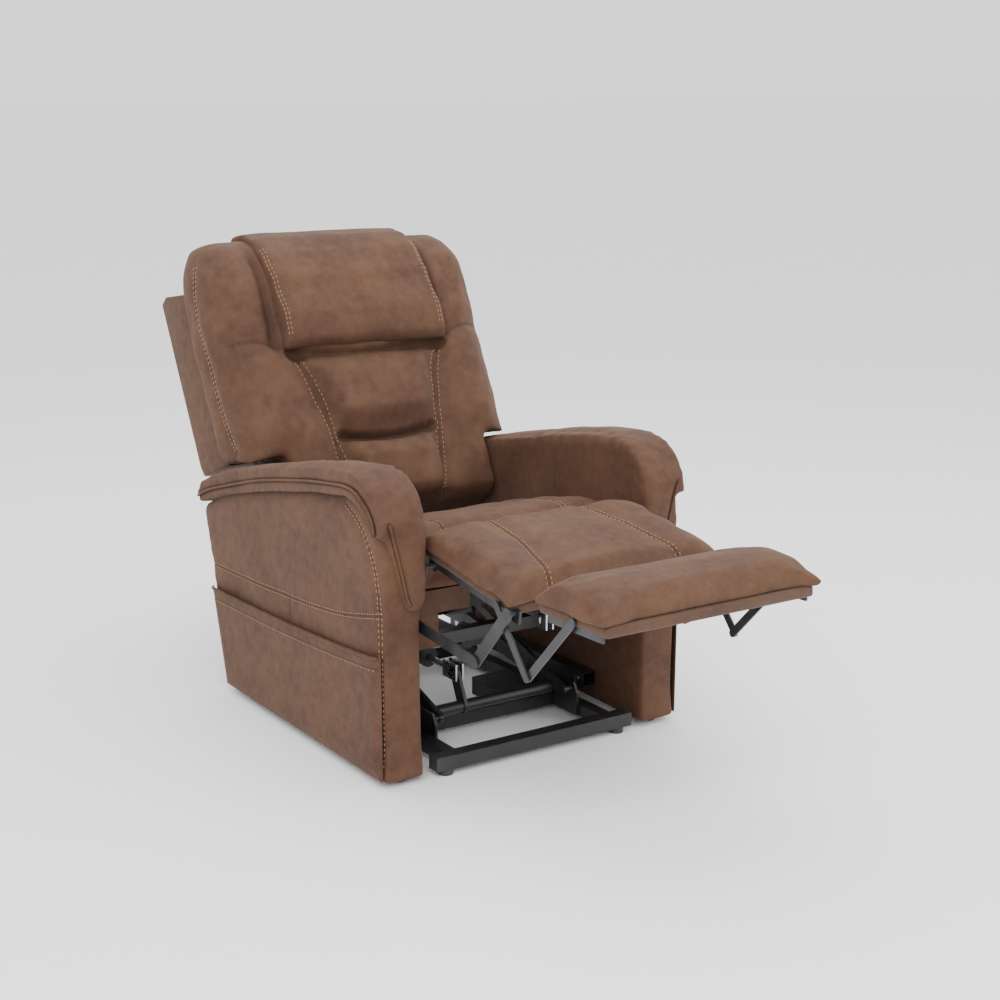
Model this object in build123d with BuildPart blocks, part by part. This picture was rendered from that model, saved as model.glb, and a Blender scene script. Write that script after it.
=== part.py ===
from build123d import *
import math
import os

os.makedirs("parts", exist_ok=True)

# Lift recliner chair, millimetres, +Z up, facing -Y, X = 0 on the centre line.
# Outlines of side plates are written as (y, z), with y measured from the arm fronts.
# The rest pose is part reclined with the legrest out.

# overall
inner_width = 580.0        # clear width between the side panels
panel_thick = 110.0
panel_depth = 800.0
pad_overhang = 20.0        # arm cap past the panel's outer face
floor_gap = 12.0           # side panel above the floor
front = -308.087           # y of the arm fronts in the model frame

# clearances
pin_fit = 0.05             # radial, pin in a link
slip = 0.5                 # faces that move past each other
pin_radius = 6.0

# base on the floor
foot_height = 14.0
tube_wall = 2.0
base_tube_depth = 35.0
base_tube_height = 32.0
base_half = inner_width / 2 - 28
rail_x = inner_width / 2 - 90   # inner face of the base side rails
rail_width = 30.0
rail_height = 30.0
base_rear_y = panel_depth - 135

# lift linkage
lift_pivot = (190.0, 75.0)
lift_body_pivot = (590.0, 135.0)
stab_pivot = (140.2, 80.0)
stab_body_pivot = (650.0, 240.0)
lift_plate = 10.0          # thickness of lift and stabiliser links
stab_slack = 5.6           # play of the stabiliser's upper pin
bracket_plate = 6.0
lift_lever = 80.0
lift_lever_angle = 65.0

# body frame
body_rail_section = (35.0, 35.0)
body_rail_z = 60.0
cross_tube = 30.0

# seat
seat_top_front = 535.0
seat_base_z = 400.0
seat_front_y = 85.0
frame_bar = 30.0

# back, reclined from vertical; u runs up the back, n out of its front
recline = 27.0
back_foot = (660.0, 620.0)
back_hinge = (640.0, 300.0)
hinge_round = 200.0        # rounded lower end of the back about its hinge
back_gap = 3.0             # seat to back
back_front = 15.0
center_bulge = 45.0
back_depth = 190.0
wing_half = 350.0
back_split = 262.0         # height of the headrest hinge up the back
knuckle = 100.0
head_hinge_n = -85.0
head_top = 555.0
head_half = 336.0
head_tilt = 25.0
shell_front = 203.0
shell_depth = 150.0
shell_wall = 12.0

# legrest
chaise_edge = (59.3, 566.4)    # rear top edge of the chaise pad
chaise_slope = 8.0
chaise_length = 360.0
chaise_thick = 72.0
board_thick = 16.0
chaise_half = inner_width / 2 - 28
chaise_hinge = (20.6, 479.6)
foot_edge = (427.0, 37.0)      # footrest pad's rear top edge, along and above the chaise pad
foot_slope = 8.8
foot_length = 225.0
foot_thick = 70.0
foot_half = inner_width / 2 - 40
lever_drop = (115.0, -130.0)   # from a front pivot of the legrest links to its rear one
lift_link_a = 358.0            # front pivot along the chaise pad
short_link_a = 309.3
pad_pivot_b = -66.0
short_link = 164.3
long_link = 210.1
foot_pivot = (120.6, -60.0)
link_plate = 4.0
link_gap = 1.5
leg_lever = 70.0
leg_lever_angle = 229.0

half = inner_width / 2
panel_out = half + panel_thick


def side(x=0.0):
    return Plane(origin=(x, front, 0), x_dir=(0, 1, 0), z_dir=(1, 0, 0))


def facing(y=0.0):
    return Plane(origin=(0, front + y, 0), x_dir=(1, 0, 0), z_dir=(0, -1, 0))


def level(z=0.0):
    return Plane(origin=(0, front, z), x_dir=(1, 0, 0), z_dir=(0, 0, 1))


def turned(point, angle):
    c, s = math.cos(math.radians(angle)), math.sin(math.radians(angle))
    return (point[0] * c - point[1] * s, point[0] * s + point[1] * c)


def plus(a, b):
    return (a[0] + b[0], a[1] + b[1])


def on_back(u, n):
    return plus(back_foot, plus(turned((u, 0), 90 - recline), turned((n, 0), 180 - recline)))


def on_chaise(a, b):
    return plus(chaise_edge, plus(turned((a, 0), 180 + chaise_slope), turned((b, 0), 90 + chaise_slope)))


foot_origin = on_chaise(*foot_edge)
foot_angle = chaise_slope - foot_slope


def on_foot(a, b):
    return plus(foot_origin, plus(turned((a, 0), 180 + foot_angle), turned((b, 0), 90 + foot_angle)))


# helpers that add to the part being built
def plate(points, x, thick, holes=(), mode=Mode.ADD):
    with BuildSketch(side(x)) as outline:
        with BuildLine():
            Polyline(*points, close=True)
        make_face()
        for centre, radius in holes:
            with Locations(centre):
                Circle(radius, mode=Mode.SUBTRACT)
    extrude(outline.sketch, amount=thick, mode=mode)


def disc(centre, radius, x, thick, mode=Mode.ADD):
    with BuildSketch(side(x)) as outline:
        with Locations(centre):
            Circle(radius)
    extrude(outline.sketch, amount=thick, mode=mode)


def link(a, b, width, x, thick, hole_a, hole_b):
    middle = ((a[0] + b[0]) / 2, (a[1] + b[1]) / 2)
    angle = math.degrees(math.atan2(b[1] - a[1], b[0] - a[0]))
    with BuildSketch(side(x)) as outline:
        with Locations(middle):
            SlotCenterToCenter(math.dist(a, b), width, rotation=angle)
        for centre, radius in ((a, hole_a), (b, hole_b)):
            if radius:
                with Locations(centre):
                    Circle(radius, mode=Mode.SUBTRACT)
    extrude(outline.sketch, amount=thick)


def tube_across(y, z, depth, height, x0, x1):
    with BuildSketch(side(x0)) as section:
        with Locations((y + depth / 2, z + height / 2)):
            Rectangle(depth, height)
            Rectangle(depth - 2 * tube_wall, height - 2 * tube_wall, mode=Mode.SUBTRACT)
    extrude(section.sketch, amount=x1 - x0)


def tube_along(x, z, width, height, y0, y1):
    with BuildSketch(facing(y1)) as section:
        with Locations((x + width / 2, z + height / 2)):
            Rectangle(width, height)
            Rectangle(width - 2 * tube_wall, height - 2 * tube_wall, mode=Mode.SUBTRACT)
    extrude(section.sketch, amount=y1 - y0)


def rod_along(x, z, radius, y0, y1, mode=Mode.ADD):
    with BuildSketch(facing(y1)) as section:
        with Locations((x, z)):
            Circle(radius)
    extrude(section.sketch, amount=y1 - y0, mode=mode)


def block(x0, x1, y0, y1, z0, z1, mode=Mode.ADD):
    with BuildSketch(level(z0)) as outline:
        with Locations(((x0 + x1) / 2, (y0 + y1) / 2)):
            Rectangle(x1 - x0, y1 - y0)
    extrude(outline.sketch, amount=z1 - z0, mode=mode)


def both_sides():
    mirror(about=Plane.YZ)


# ---------------------------------------------------------------- base on the floor
rail_rear = base_rear_y
with BuildPart() as base_side_rails:
    tube_along(rail_x, foot_height + 1, rail_width, rail_height, base_tube_depth, rail_rear)
    both_sides()

with BuildPart() as base_front_tube:
    tube_across(0, foot_height, base_tube_depth, base_tube_height, -base_half, base_half)

middle_tube_y = lift_pivot[0] + 28
with BuildPart() as base_middle_tube:
    tube_across(middle_tube_y, foot_height + 1, 32, rail_height, -rail_x, rail_x)

with BuildPart() as base_rear_tube:
    tube_across(rail_rear, foot_height, base_tube_depth, base_tube_height, -base_half, base_half)

with BuildPart() as base_end_caps:
    for y in (0, rail_rear):
        block(base_half, base_half + 6, y, y + base_tube_depth, foot_height, foot_height + base_tube_height)
    both_sides()

foot_spots = [(base_half - 26, base_tube_depth / 2), (base_half - 26, rail_rear + base_tube_depth / 2)]
with BuildPart() as base_feet:
    with BuildSketch(level(0)) as pads:
        with Locations(*foot_spots):
            Circle(17)
    extrude(pads.sketch, amount=foot_height)
    both_sides()

bracket_x = rail_x - bracket_plate
lift_x = bracket_x - 2 - lift_plate
stab_x = lift_x - 4 - lift_plate
rail_top = foot_height + 1 + rail_height
bracket_outline = [
    (stab_pivot[0] - 22, foot_height + 3), (middle_tube_y - 2, foot_height + 3),
    (middle_tube_y - 2, 70), (lift_pivot[0] + 12, lift_pivot[1] + 18),
    (stab_pivot[0] - 8, stab_pivot[1] + 16), (stab_pivot[0] - 22, stab_pivot[1] - 8),
]
with BuildPart() as base_pivot_brackets:
    plate(bracket_outline, bracket_x, bracket_plate)
    disc(lift_pivot, pin_radius, lift_x + slip, bracket_x - lift_x - slip)
    disc(stab_pivot, pin_radius, stab_x, bracket_x - stab_x)
    both_sides()

supply_x = (70.0, 175.0)
with BuildPart() as power_supply:
    block(*supply_x, middle_tube_y + 32, middle_tube_y + 172, foot_height + 3, foot_height + 45)
    fillet(power_supply.edges().filter_by(Axis.Z), radius=8)
    block(supply_x[0] + 40, supply_x[1] - 40, middle_tube_y + 160, middle_tube_y + 173,
          foot_height + 14, foot_height + 34, mode=Mode.SUBTRACT)

# ---------------------------------------------------------------- lift linkage
with BuildPart() as lift_links:
    link(lift_pivot, lift_body_pivot, 36, lift_x, lift_plate, pin_radius + pin_fit, pin_radius + pin_fit)
    both_sides()

torsion_radius = 14.0
lever_x = -80.0
lift_lever_end = plus(lift_pivot, turned((lift_lever, 0), lift_lever_angle))
with BuildPart() as lift_torsion_tube:
    torsion_half = stab_x - 2
    disc(lift_pivot, torsion_radius, -torsion_half, 2 * torsion_half)
    disc(lift_pivot, torsion_radius - tube_wall, -torsion_half, 2 * torsion_half, mode=Mode.SUBTRACT)
    for stub, plug in ((-lift_x, -torsion_half), (torsion_half - 6, torsion_half - 6)):
        disc(lift_pivot, 8, stub, lift_x - torsion_half + 6)
        disc(lift_pivot, torsion_radius - 1, plug, 6)
    link(lift_pivot, lift_lever_end, 34, lever_x - 4, 8, torsion_radius, 0)
    disc(lift_lever_end, 5, lever_x - 16, 32)

with BuildPart() as stabiliser_links:
    link(stab_pivot, stab_body_pivot, 20, stab_x, lift_plate, pin_radius + pin_fit, 0)
    disc(stab_body_pivot, pin_radius + stab_slack + 7, stab_x, lift_plate)
    disc(stab_body_pivot, pin_radius + stab_slack, stab_x, lift_plate, mode=Mode.SUBTRACT)
    both_sides()


def slotted_rod(x, z, y0, y1, pin, play):
    """round rod along y with a fork whose slots run up and down over the pin"""
    rod_along(x, z, 8, y0, y1)
    with BuildSketch(side(x + 7)) as cheek:
        with Locations(((pin[0] + y0) / 2 - 4, z)):
            Rectangle(abs(y0 - pin[0]) + 32, 2 * (play + 14))
        with Locations((pin[0], z)):
            SlotOverall(2 * (play + 7), 14, rotation=90, mode=Mode.SUBTRACT)
    extrude(cheek.sketch, amount=4)
    with BuildSketch(side(x - 11)) as cheek_far:
        with Locations(((pin[0] + y0) / 2 - 4, z)):
            Rectangle(abs(y0 - pin[0]) + 32, 2 * (play + 14))
        with Locations((pin[0], z)):
            SlotOverall(2 * (play + 7), 14, rotation=90, mode=Mode.SUBTRACT)
    extrude(cheek_far.sketch, amount=4)
    block(x - 11, x + 11, y0 - 2, y0 + 8, z - 12, z + 12)


lift_axis_z = lift_pivot[1] + lift_lever * 0.955
with BuildPart() as lift_motor_rod:
    slotted_rod(lever_x, lift_axis_z, lift_lever_end[0] + 26, 560, lift_lever_end, 6)


def drive_housing(x, z, mouth, end, radius, offset, motor_length):
    """tube and gear housing round the rod, with the motor lying beside it at the closed end"""
    back = 1 if end > mouth else -1
    rod_along(x, z, radius, mouth, end)
    rod_along(x + offset, z, radius * 0.95, end - back * motor_length, end)
    low, high = sorted((end - back * motor_length * 0.4, end))
    block(min(x, x + offset), max(x, x + offset), low, high, z - radius * 0.8, z + radius * 0.8)
    rod_along(x, z, 8 + slip, mouth - back, end - back * 16, mode=Mode.SUBTRACT)


with BuildPart() as lift_motor:
    drive_housing(lever_x, lift_axis_z, 340, 652, 24, -46, 110)

with BuildPart() as lift_motor_mount:
    block(lever_x - 20, lever_x + 20, rail_rear - 13, rail_rear, foot_height + 4, lift_axis_z + 18)

# ---------------------------------------------------------------- body frame
rail_w, rail_h = body_rail_section
with BuildPart() as body_side_rails:
    tube_along(half - rail_w, body_rail_z, rail_w, rail_h, 175, panel_depth - 20)
    both_sides()

front_cross_y, front_cross_z = 240.0, 212.0
rear_cross_y, rear_cross_z = 702.0, 120.0
with BuildPart() as body_front_cross_tube:
    tube_across(front_cross_y, front_cross_z, cross_tube, cross_tube, -half, half)

with BuildPart() as body_rear_cross_tubes:
    tube_across(rear_cross_y, rear_cross_z, cross_tube, cross_tube, -bracket_x, bracket_x)
    tube_across(rear_cross_y, rear_cross_z, cross_tube, cross_tube, rail_x, half)
    tube_across(rear_cross_y, rear_cross_z, cross_tube, cross_tube, -half, -rail_x)

lift_bracket_outline = [
    (lift_body_pivot[0] - 20, lift_body_pivot[1] - 22), (rear_cross_y + cross_tube, rear_cross_z - 5),
    (rear_cross_y + cross_tube, rear_cross_z + cross_tube + 8), (stab_body_pivot[0] + 30, 185),
    (stab_body_pivot[0] + 16, stab_body_pivot[1] + 16), (stab_body_pivot[0] - 18, stab_body_pivot[1] + 14),
    (lift_body_pivot[0] - 20, lift_body_pivot[1] + 22),
]
with BuildPart() as body_lift_brackets:
    plate(lift_bracket_outline, bracket_x, bracket_plate)
    disc(lift_body_pivot, pin_radius, lift_x + slip, bracket_x - lift_x - slip)
    disc(stab_body_pivot, pin_radius, stab_x, bracket_x - stab_x)
    both_sides()

# ---------------------------------------------------------------- arms
rear_lean = 112.0          # how far the panel's rear edge leans back on its way up
cap_top = [(-16, 560), (-10, 625), (15, 672), (55, 697), (110, 703), (230, 690), (360, 668), (560, 622),
           (670, 598), (panel_depth, 562), (panel_depth + 80, 524), (panel_depth + 118, 478)]
panel_top = [(0, 500), (10, 550), (35, 592), (75, 620), (130, 632), (320, 606), (575, 557),
             (panel_depth - 26, 502), (panel_depth - 8 + rear_lean, 452)]
panel_foot = [(panel_depth - 8, floor_gap), (0, floor_gap)]
with BuildPart() as left_side_panel:
    plate(panel_top + panel_foot, half, panel_thick)

cap_under = [(y, z + slip) for y, z in reversed(panel_top[1:])] + [(-slip, 500)]
cap_drop = [(-16, 560), (-slip, 560), (-slip, 385), (-8, 380), (-16, 392)]
with BuildPart() as left_arm_cap:
    plate(cap_top + cap_under, half, panel_thick + pad_overhang)
    plate(cap_drop, half, 62)

pocket_gap = 6.0
pocket_wall = 4.0
pocket_rear = panel_depth - 18
pocket_mouth = [(10, 304), (430, 272), (pocket_rear + rear_lean * 0.57, 262)]
with BuildPart() as left_side_pocket:
    plate([(10, floor_gap + 4)] + pocket_mouth + [(pocket_rear, floor_gap + 4)],
          panel_out + pocket_gap, pocket_wall)
    block(panel_out, panel_out + pocket_gap, 10, 26, floor_gap + 4, 300)
    plate([(pocket_rear - 14, floor_gap + 4), (pocket_rear - 14 + rear_lean * 0.57, 261),
           (pocket_rear + rear_lean * 0.57, 261), (pocket_rear, floor_gap + 4)], panel_out, pocket_gap)
    block(panel_out, panel_out + pocket_gap, 26, pocket_rear - 13, floor_gap + 4, floor_gap + 18)

with BuildPart() as right_side_panel:
    mirror(left_side_panel.part, about=Plane.YZ)

with BuildPart() as right_arm_cap:
    mirror(left_arm_cap.part, about=Plane.YZ)

with BuildPart() as right_side_pocket:
    mirror(left_side_pocket.part, about=Plane.YZ)

with BuildPart() as arm_glides:
    with BuildSketch(level(floor_gap - 7)) as glides:
        with Locations(*[(half + panel_thick / 2, y) for y in (30, panel_depth - 40)]):
            Circle(13)
    extrude(glides.sketch, amount=7)
    both_sides()

with BuildPart() as panel_bolts:
    for y, z in ((200, body_rail_z + 17), (740, body_rail_z + 17)):
        disc((y, z), 9, half - rail_w - 5, 5)
    both_sides()

# ---------------------------------------------------------------- seat
frame_z = seat_base_z - frame_bar - 2
seat_rear_y = back_hinge[0] - hinge_round - back_gap
seat_frame_rear = seat_rear_y - 8
with BuildPart() as seat_frame:
    tube_along(half - 60, frame_z, frame_bar, frame_bar, seat_front_y + 45, seat_frame_rear - frame_bar)
    both_sides()
    tube_across(seat_front_y + 15, frame_z, frame_bar, frame_bar, -half + 30, half - 30)
    tube_across(seat_frame_rear - frame_bar, frame_z, frame_bar, frame_bar, -half + 30, half - 30)

with BuildPart() as seat_support_tubes:
    for y, reach in ((seat_front_y + 105, half - 4), (seat_frame_rear - 60, half)):
        tube_across(y, frame_z - 25, 25, 25, -reach, reach)

spring_front, spring_rear = seat_front_y + 45, seat_frame_rear - frame_bar
spring_step = (spring_rear - spring_front) / 14
with BuildPart() as seat_springs:
    for x in (-165, -82.5, 0, 82.5, 165):
        zigzag = [(x + 22 * (-1) ** i, spring_front + spring_step * i) for i in range(1, 14)]
        with BuildSketch(level(frame_z + frame_bar - 8)) as wire:
            with BuildLine():
                Polyline((x, spring_front), *zigzag, (x, spring_rear))
            trace(line_width=4)
        extrude(wire.sketch, amount=4)
    block(-half, half, spring_front, spring_rear, frame_z, frame_z + frame_bar, mode=Mode.INTERSECT)

crease = 142.0             # seat top above the back hinge where it meets the back
seat_round = hinge_round + back_gap


def on_hinge(radius, z_up):
    return (back_hinge[0] - math.sqrt(radius ** 2 - z_up ** 2), back_hinge[1] + z_up)


seat_low = seat_base_z - back_hinge[1]
with BuildPart() as seat_cushion:
    with BuildSketch(side(-half + 6)) as seat_outline:
        with BuildLine():
            Polyline(on_hinge(seat_round, seat_low), (seat_front_y, seat_base_z),
                     (seat_front_y, seat_top_front - 30), (seat_front_y + 30, seat_top_front),
                     (seat_front_y + 90, seat_top_front - 4),
                     plus(on_hinge(seat_round, crease - 12), (-22, 14)),
                     on_hinge(seat_round, crease - 12))
            ThreePointArc(on_hinge(seat_round, crease - 12),
                          on_hinge(seat_round, (crease - 12 + seat_low) / 2),
                          on_hinge(seat_round, seat_low))
        make_face()
    extrude(seat_outline.sketch, amount=inner_width - 12)

with BuildPart() as front_valance_ends:
    block(120, half - 12, seat_front_y + 11, seat_front_y + 15, frame_z - 22, seat_base_z - 1)
    both_sides()

with BuildPart() as front_valance_center:
    block(-119, 119, seat_front_y + 11, seat_front_y + 15, frame_z - 22, seat_base_z - 1)

# ---------------------------------------------------------------- legrest linkage
front_pivot = on_chaise(lift_link_a, pad_pivot_b)
rear_arm_pivot = plus(chaise_hinge, lever_drop)
knee_low = plus(front_pivot, lever_drop)
short_pivot = on_chaise(short_link_a, pad_pivot_b)
foot_link_pivot = on_foot(*foot_pivot)


def third_corner(a, b, from_a, from_b):
    """the point below the line a-b at the two given distances"""
    gap = math.dist(a, b)
    along = (from_a ** 2 - from_b ** 2 + gap ** 2) / (2 * gap)
    drop = math.sqrt(from_a ** 2 - along ** 2)
    tilt = math.degrees(math.atan2(b[1] - a[1], b[0] - a[0]))
    corners = [plus(a, turned((along, way * drop), tilt)) for way in (-1, 1)]
    return min(corners, key=lambda p: p[1])


knee = third_corner(short_pivot, foot_link_pivot, short_link, long_link)

# side-to-side stack of flat links between the pads and the side panels
plate_x = half - 4
rear_arm_x = plate_x - link_gap - link_plate
lift_arm_x = rear_arm_x - link_gap - link_plate
short_x = lift_arm_x - link_gap - link_plate
long_x = short_x - link_gap - link_plate
pad_bracket_x = long_x - 2 * link_gap - 9

mount_outline = [
    (chaise_hinge[0] - 16, chaise_hinge[1] - 12), (chaise_hinge[0] - 16, chaise_hinge[1] + 12),
    (chaise_hinge[0] + 10, chaise_hinge[1] + 18), (250, 395), (250, 330),
    (rear_arm_pivot[0] + 14, rear_arm_pivot[1] - 18), (rear_arm_pivot[0] - 12, rear_arm_pivot[1] - 16),
]
with BuildPart() as legrest_mount_plates:
    plate(mount_outline, plate_x, 4)
    disc(chaise_hinge, pin_radius, pad_bracket_x, plate_x - pad_bracket_x)
    disc(rear_arm_pivot, pin_radius, rear_arm_x + slip, plate_x - rear_arm_x - slip)
    both_sides()

with BuildPart() as legrest_rear_arms:
    link(rear_arm_pivot, knee_low, 26, rear_arm_x, link_plate, pin_radius + pin_fit, 0)
    disc(knee_low, pin_radius, lift_arm_x, rear_arm_x - lift_arm_x)
    both_sides()

leg_lever_x = 80.0
leg_lever_end = plus(rear_arm_pivot, turned((leg_lever, 0), leg_lever_angle))
with BuildPart() as legrest_torque_tube:
    disc(rear_arm_pivot, 11, -rear_arm_x, 2 * rear_arm_x)
    disc(rear_arm_pivot, 9, -rear_arm_x, 2 * rear_arm_x, mode=Mode.SUBTRACT)
    link(rear_arm_pivot, leg_lever_end, 28, leg_lever_x - 4, 8, 11, 0)
    disc(leg_lever_end, 5, leg_lever_x - 16, 32)

with BuildPart() as legrest_lift_arms:
    link(front_pivot, knee_low, 28, lift_arm_x, link_plate, pin_radius + 0.3, pin_radius + pin_fit)
    both_sides()

with BuildPart() as extension_short_links:
    link(short_pivot, knee, 18, short_x, link_plate, pin_radius + pin_fit, 0)
    disc(knee, pin_radius, long_x, short_x - long_x)
    both_sides()

with BuildPart() as extension_long_links:
    link(knee, foot_link_pivot, 18, long_x, link_plate, pin_radius + pin_fit, pin_radius + pin_fit)
    both_sides()

leg_axis_z = rear_arm_pivot[1] - leg_lever * 0.875
with BuildPart() as legrest_motor_rod:
    slotted_rod(leg_lever_x, leg_axis_z, leg_lever_end[0] + 26, 312, leg_lever_end, 11)

with BuildPart() as legrest_motor:
    drive_housing(leg_lever_x, leg_axis_z, 224, 425, 20, 40, 90)


def pad_solid(place, length, thick, half_width):
    corner = thick / 3
    plate([place(0, -thick), place(0, -corner), place(corner, 0), place(length - corner, 0),
           place(length, -corner), place(length, -thick)], -half_width, 2 * half_width)


# ---------------------------------------------------------------- chaise pad
with BuildPart() as chaise_cushion:
    pad_solid(on_chaise, chaise_length, chaise_thick - board_thick, chaise_half)

board_inner = pad_bracket_x - 2
with BuildPart() as chaise_board:
    low, high = -chaise_thick, -chaise_thick + board_thick
    plate([on_chaise(4, low), on_chaise(4, high), on_chaise(chaise_length - 4, high),
           on_chaise(chaise_length - 4, low)], -board_inner, 2 * board_inner)

bracket_low, bracket_high = -chaise_thick - 14, -chaise_thick + board_thick - 1
with BuildPart() as chaise_side_brackets:
    plate([on_chaise(40, bracket_low), on_chaise(28, bracket_low - 10), on_chaise(28, bracket_high),
           on_chaise(lift_link_a + 14, bracket_high), on_chaise(lift_link_a + 14, bracket_low)],
          pad_bracket_x, 6)
    disc(chaise_hinge, 14, pad_bracket_x, 6)
    disc(chaise_hinge, pin_radius + pin_fit, pad_bracket_x, 6, mode=Mode.SUBTRACT)
    for spot, reach in ((front_pivot, lift_arm_x + link_plate), (short_pivot, short_x + link_plate)):
        disc(spot, pin_radius, pad_bracket_x + 6, reach - pad_bracket_x - 6)
    both_sides()

# ---------------------------------------------------------------- footrest pad
with BuildPart() as footrest_cushion:
    pad_solid(on_foot, foot_length, foot_thick - board_thick, foot_half)

with BuildPart() as footrest_board:
    low, high = -foot_thick, -foot_thick + board_thick
    plate([on_foot(4, low), on_foot(4, high), on_foot(foot_length - 4, high), on_foot(foot_length - 4, low)],
          -board_inner, 2 * board_inner)

with BuildPart() as footrest_side_brackets:
    plate([on_foot(30, -foot_thick - 12), on_foot(30, -foot_thick + board_thick - 1),
           on_foot(foot_length - 20, -foot_thick + board_thick - 1), on_foot(foot_length - 20, -foot_thick - 12)],
          pad_bracket_x, 6)
    disc(foot_link_pivot, 12, pad_bracket_x, 6)
    disc(foot_link_pivot, pin_radius, pad_bracket_x + 6, long_x + link_plate - pad_bracket_x - 6)
    both_sides()

# ---------------------------------------------------------------- back
bulge_half = 180.0
body_half = half - 6


def on_round(n):
    """height up the back where its rounded lower end meets the line n"""
    rise = math.sqrt(hinge_round ** 2 - (n - hinge_n) ** 2)
    return hinge_u + rise


to_hinge = turned((back_hinge[0] - back_foot[0], back_hinge[1] - back_foot[1]), -(90 - recline))
hinge_u, hinge_n = to_hinge[0], to_hinge[1]
round_start = on_back(on_round(back_front), back_front)
round_end = plus(back_hinge, turned((hinge_round, 0), 172))
start_angle = math.degrees(math.atan2(round_start[1] - back_hinge[1], round_start[0] - back_hinge[0]))
round_middle = plus(back_hinge, turned((hinge_round, 0), (start_angle + 172) / 2))
head_hinge = on_back(back_split, head_hinge_n)
wing_low_z = 645.0
with BuildPart() as back_cushion:
    with BuildSketch(side(-body_half)) as lower_outline:
        with BuildLine():
            Polyline(round_start, on_back(back_split, back_front), on_back(back_split, -back_depth + 5),
                     on_back(-180, -back_depth + 5), (540, 390), (500, 328), round_end)
            ThreePointArc(round_end, round_middle, round_start)
        make_face()
    extrude(lower_outline.sketch, amount=2 * body_half)
    bulge = [on_back(on_round(center_bulge), center_bulge), on_back(back_split - 44, center_bulge),
             on_back(back_split - 44, 0), on_back(on_round(back_front) + 1, 0)]
    plate(bulge, -bulge_half, 2 * bulge_half)
    front_u = (wing_low_z - back_foot[1] - back_front * math.sin(math.radians(recline)))
    front_u = front_u / math.cos(math.radians(recline))
    wing = [on_back(front_u, back_front), on_back(back_split, back_front),
            on_back(back_split, -back_depth + 5), on_back(48, -back_depth + 5), (800, 600)]
    plate(wing, -wing_half, 2 * wing_half)
    disc(head_hinge, knuckle, -wing_half, 2 * wing_half)
    disc(head_hinge, 8 + pin_fit, -wing_half, 2 * wing_half, mode=Mode.SUBTRACT)
    arm_slot = [on_back(back_split - 16, 40), on_back(back_split + 130, 40),
                on_back(back_split + 130, -220), on_back(back_split - 16, -220)]
    for start in (head_half + 0.5, -head_half - 6.5):
        plate(arm_slot, start, 6, mode=Mode.SUBTRACT)

back_face = Plane(origin=(0, front + on_back(0, 0)[0], on_back(0, 0)[1]), x_dir=(1, 0, 0),
                  z_dir=(0, -math.cos(math.radians(recline)), math.sin(math.radians(recline))))
with BuildPart() as headrest_cushion:
    rise = math.tan(math.radians(head_tilt + 2)) * (back_front - head_hinge_n)
    plate([on_back(back_split, -back_depth), on_back(back_split, head_hinge_n),
           on_back(back_split + rise, back_front), on_back(head_top, back_front),
           on_back(head_top, -back_depth)], -wing_half, 2 * wing_half)
    disc(head_hinge, knuckle + slip, -wing_half, 2 * wing_half, mode=Mode.SUBTRACT)
    with BuildSketch(back_face) as crown:
        with BuildLine():
            Polyline((-head_half, 200), (head_half, 200), (head_half, 400), (head_half - 18, head_top),
                     (18 - head_half, head_top), (-head_half, 400), close=True)
        make_face()
        fillet(crown.vertices().group_by(Axis.Y)[-1], radius=62)
    extrude(crown.sketch, amount=2 * back_depth, both=True, mode=Mode.INTERSECT)

pillow_low = back_split + 24
with BuildPart() as headrest_pillow:
    plate([on_back(pillow_low, back_front + slip), on_back(pillow_low + 8, 48), on_back(pillow_low + 30, 60),
           on_back(head_top - 60, 60), on_back(head_top - 12, 40), on_back(head_top - 4, back_front + slip)],
          -225, 450)

frame_n = -back_depth - 1
head_arm_x = head_half + 1
with BuildPart() as headrest_frame:
    plate([on_back(back_split + 18, frame_n), on_back(480, frame_n), on_back(480, frame_n - 5),
           on_back(back_split + 18, frame_n - 5)], -head_arm_x, 2 * head_arm_x)
    ear = [on_back(back_split + 18, frame_n - 5), on_back(back_split + 46, frame_n - 5),
           on_back(back_split + 12, head_hinge_n - 150), on_back(back_split - 10, head_hinge_n - 150)]
    plate(ear, -4, 8)
    disc(on_back(back_split, head_hinge_n - 140), 5, -16, 32)
    link(head_hinge, on_back(back_split + 26, frame_n + 8), 22, head_arm_x, 4, 8, 0)
    both_sides()

with BuildPart() as headrest_hinge_rod:
    disc(head_hinge, 8, -head_arm_x - 4.5, 2 * head_arm_x + 9)

# rear shell, open towards the cushion and round the uprights
shell_half = wing_half - 5
with BuildPart() as back_shell:
    plate([on_back(48, -shell_front), on_back(520, -shell_front), on_back(520, -shell_front - shell_depth),
           on_back(48, -shell_front - shell_depth)], -shell_half, 2 * shell_half)
    plate([on_back(20, -shell_front + 1), on_back(520 - shell_wall, -shell_front + 1),
           on_back(520 - shell_wall, -shell_front - shell_depth + shell_wall),
           on_back(48 + shell_wall, -shell_front - shell_depth + shell_wall),
           on_back(48 + shell_wall, -shell_front - 40), on_back(20, -shell_front - 40)],
          -shell_half + shell_wall, 2 * (shell_half - shell_wall), mode=Mode.SUBTRACT)

upright_x = half - 50
with BuildPart() as back_frame:
    plate([on_back(-300, -shell_front - 2), on_back(470, -shell_front - 2), on_back(470, -shell_front - 27),
           on_back(-300, -shell_front - 27)], upright_x, 22)
    both_sides()
    for u in (-296, 64, 430):
        plate([on_back(u, -shell_front - 4), on_back(u + 24, -shell_front - 4),
               on_back(u + 24, -shell_front - 25), on_back(u, -shell_front - 25)],
              -upright_x, 2 * upright_x)

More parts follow.
